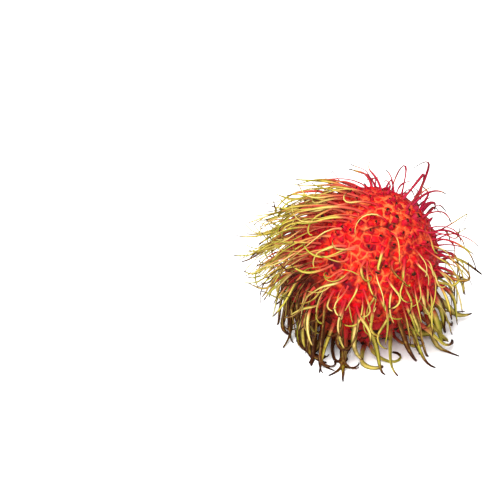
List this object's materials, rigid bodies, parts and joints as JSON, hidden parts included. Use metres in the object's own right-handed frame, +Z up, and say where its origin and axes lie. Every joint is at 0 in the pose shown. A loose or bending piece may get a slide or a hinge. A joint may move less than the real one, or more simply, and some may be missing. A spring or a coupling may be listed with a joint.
{
  "type": "rambutan",
  "caption": "Egg-shaped tropical fruit with a knobbly rind that grows long, soft, curling spines; it lies on a surface.",
  "frame": {"origin": "on the surface that the fruit lies on, under the middle of its body and inside the small flat spot that it rests on", "axes": "+Z up; the raised blossom end faces -Y and a little +X, and the stem end is low at the back"},
  "size_m": [0.0719, 0.063, 0.0485],
  "materials": {
    "rind": "satin red rind, spines that run from red to yellow-green"
  },
  "bodies": {
    "root": {"rambutan": "rind"}
  },
  "joints": []
}
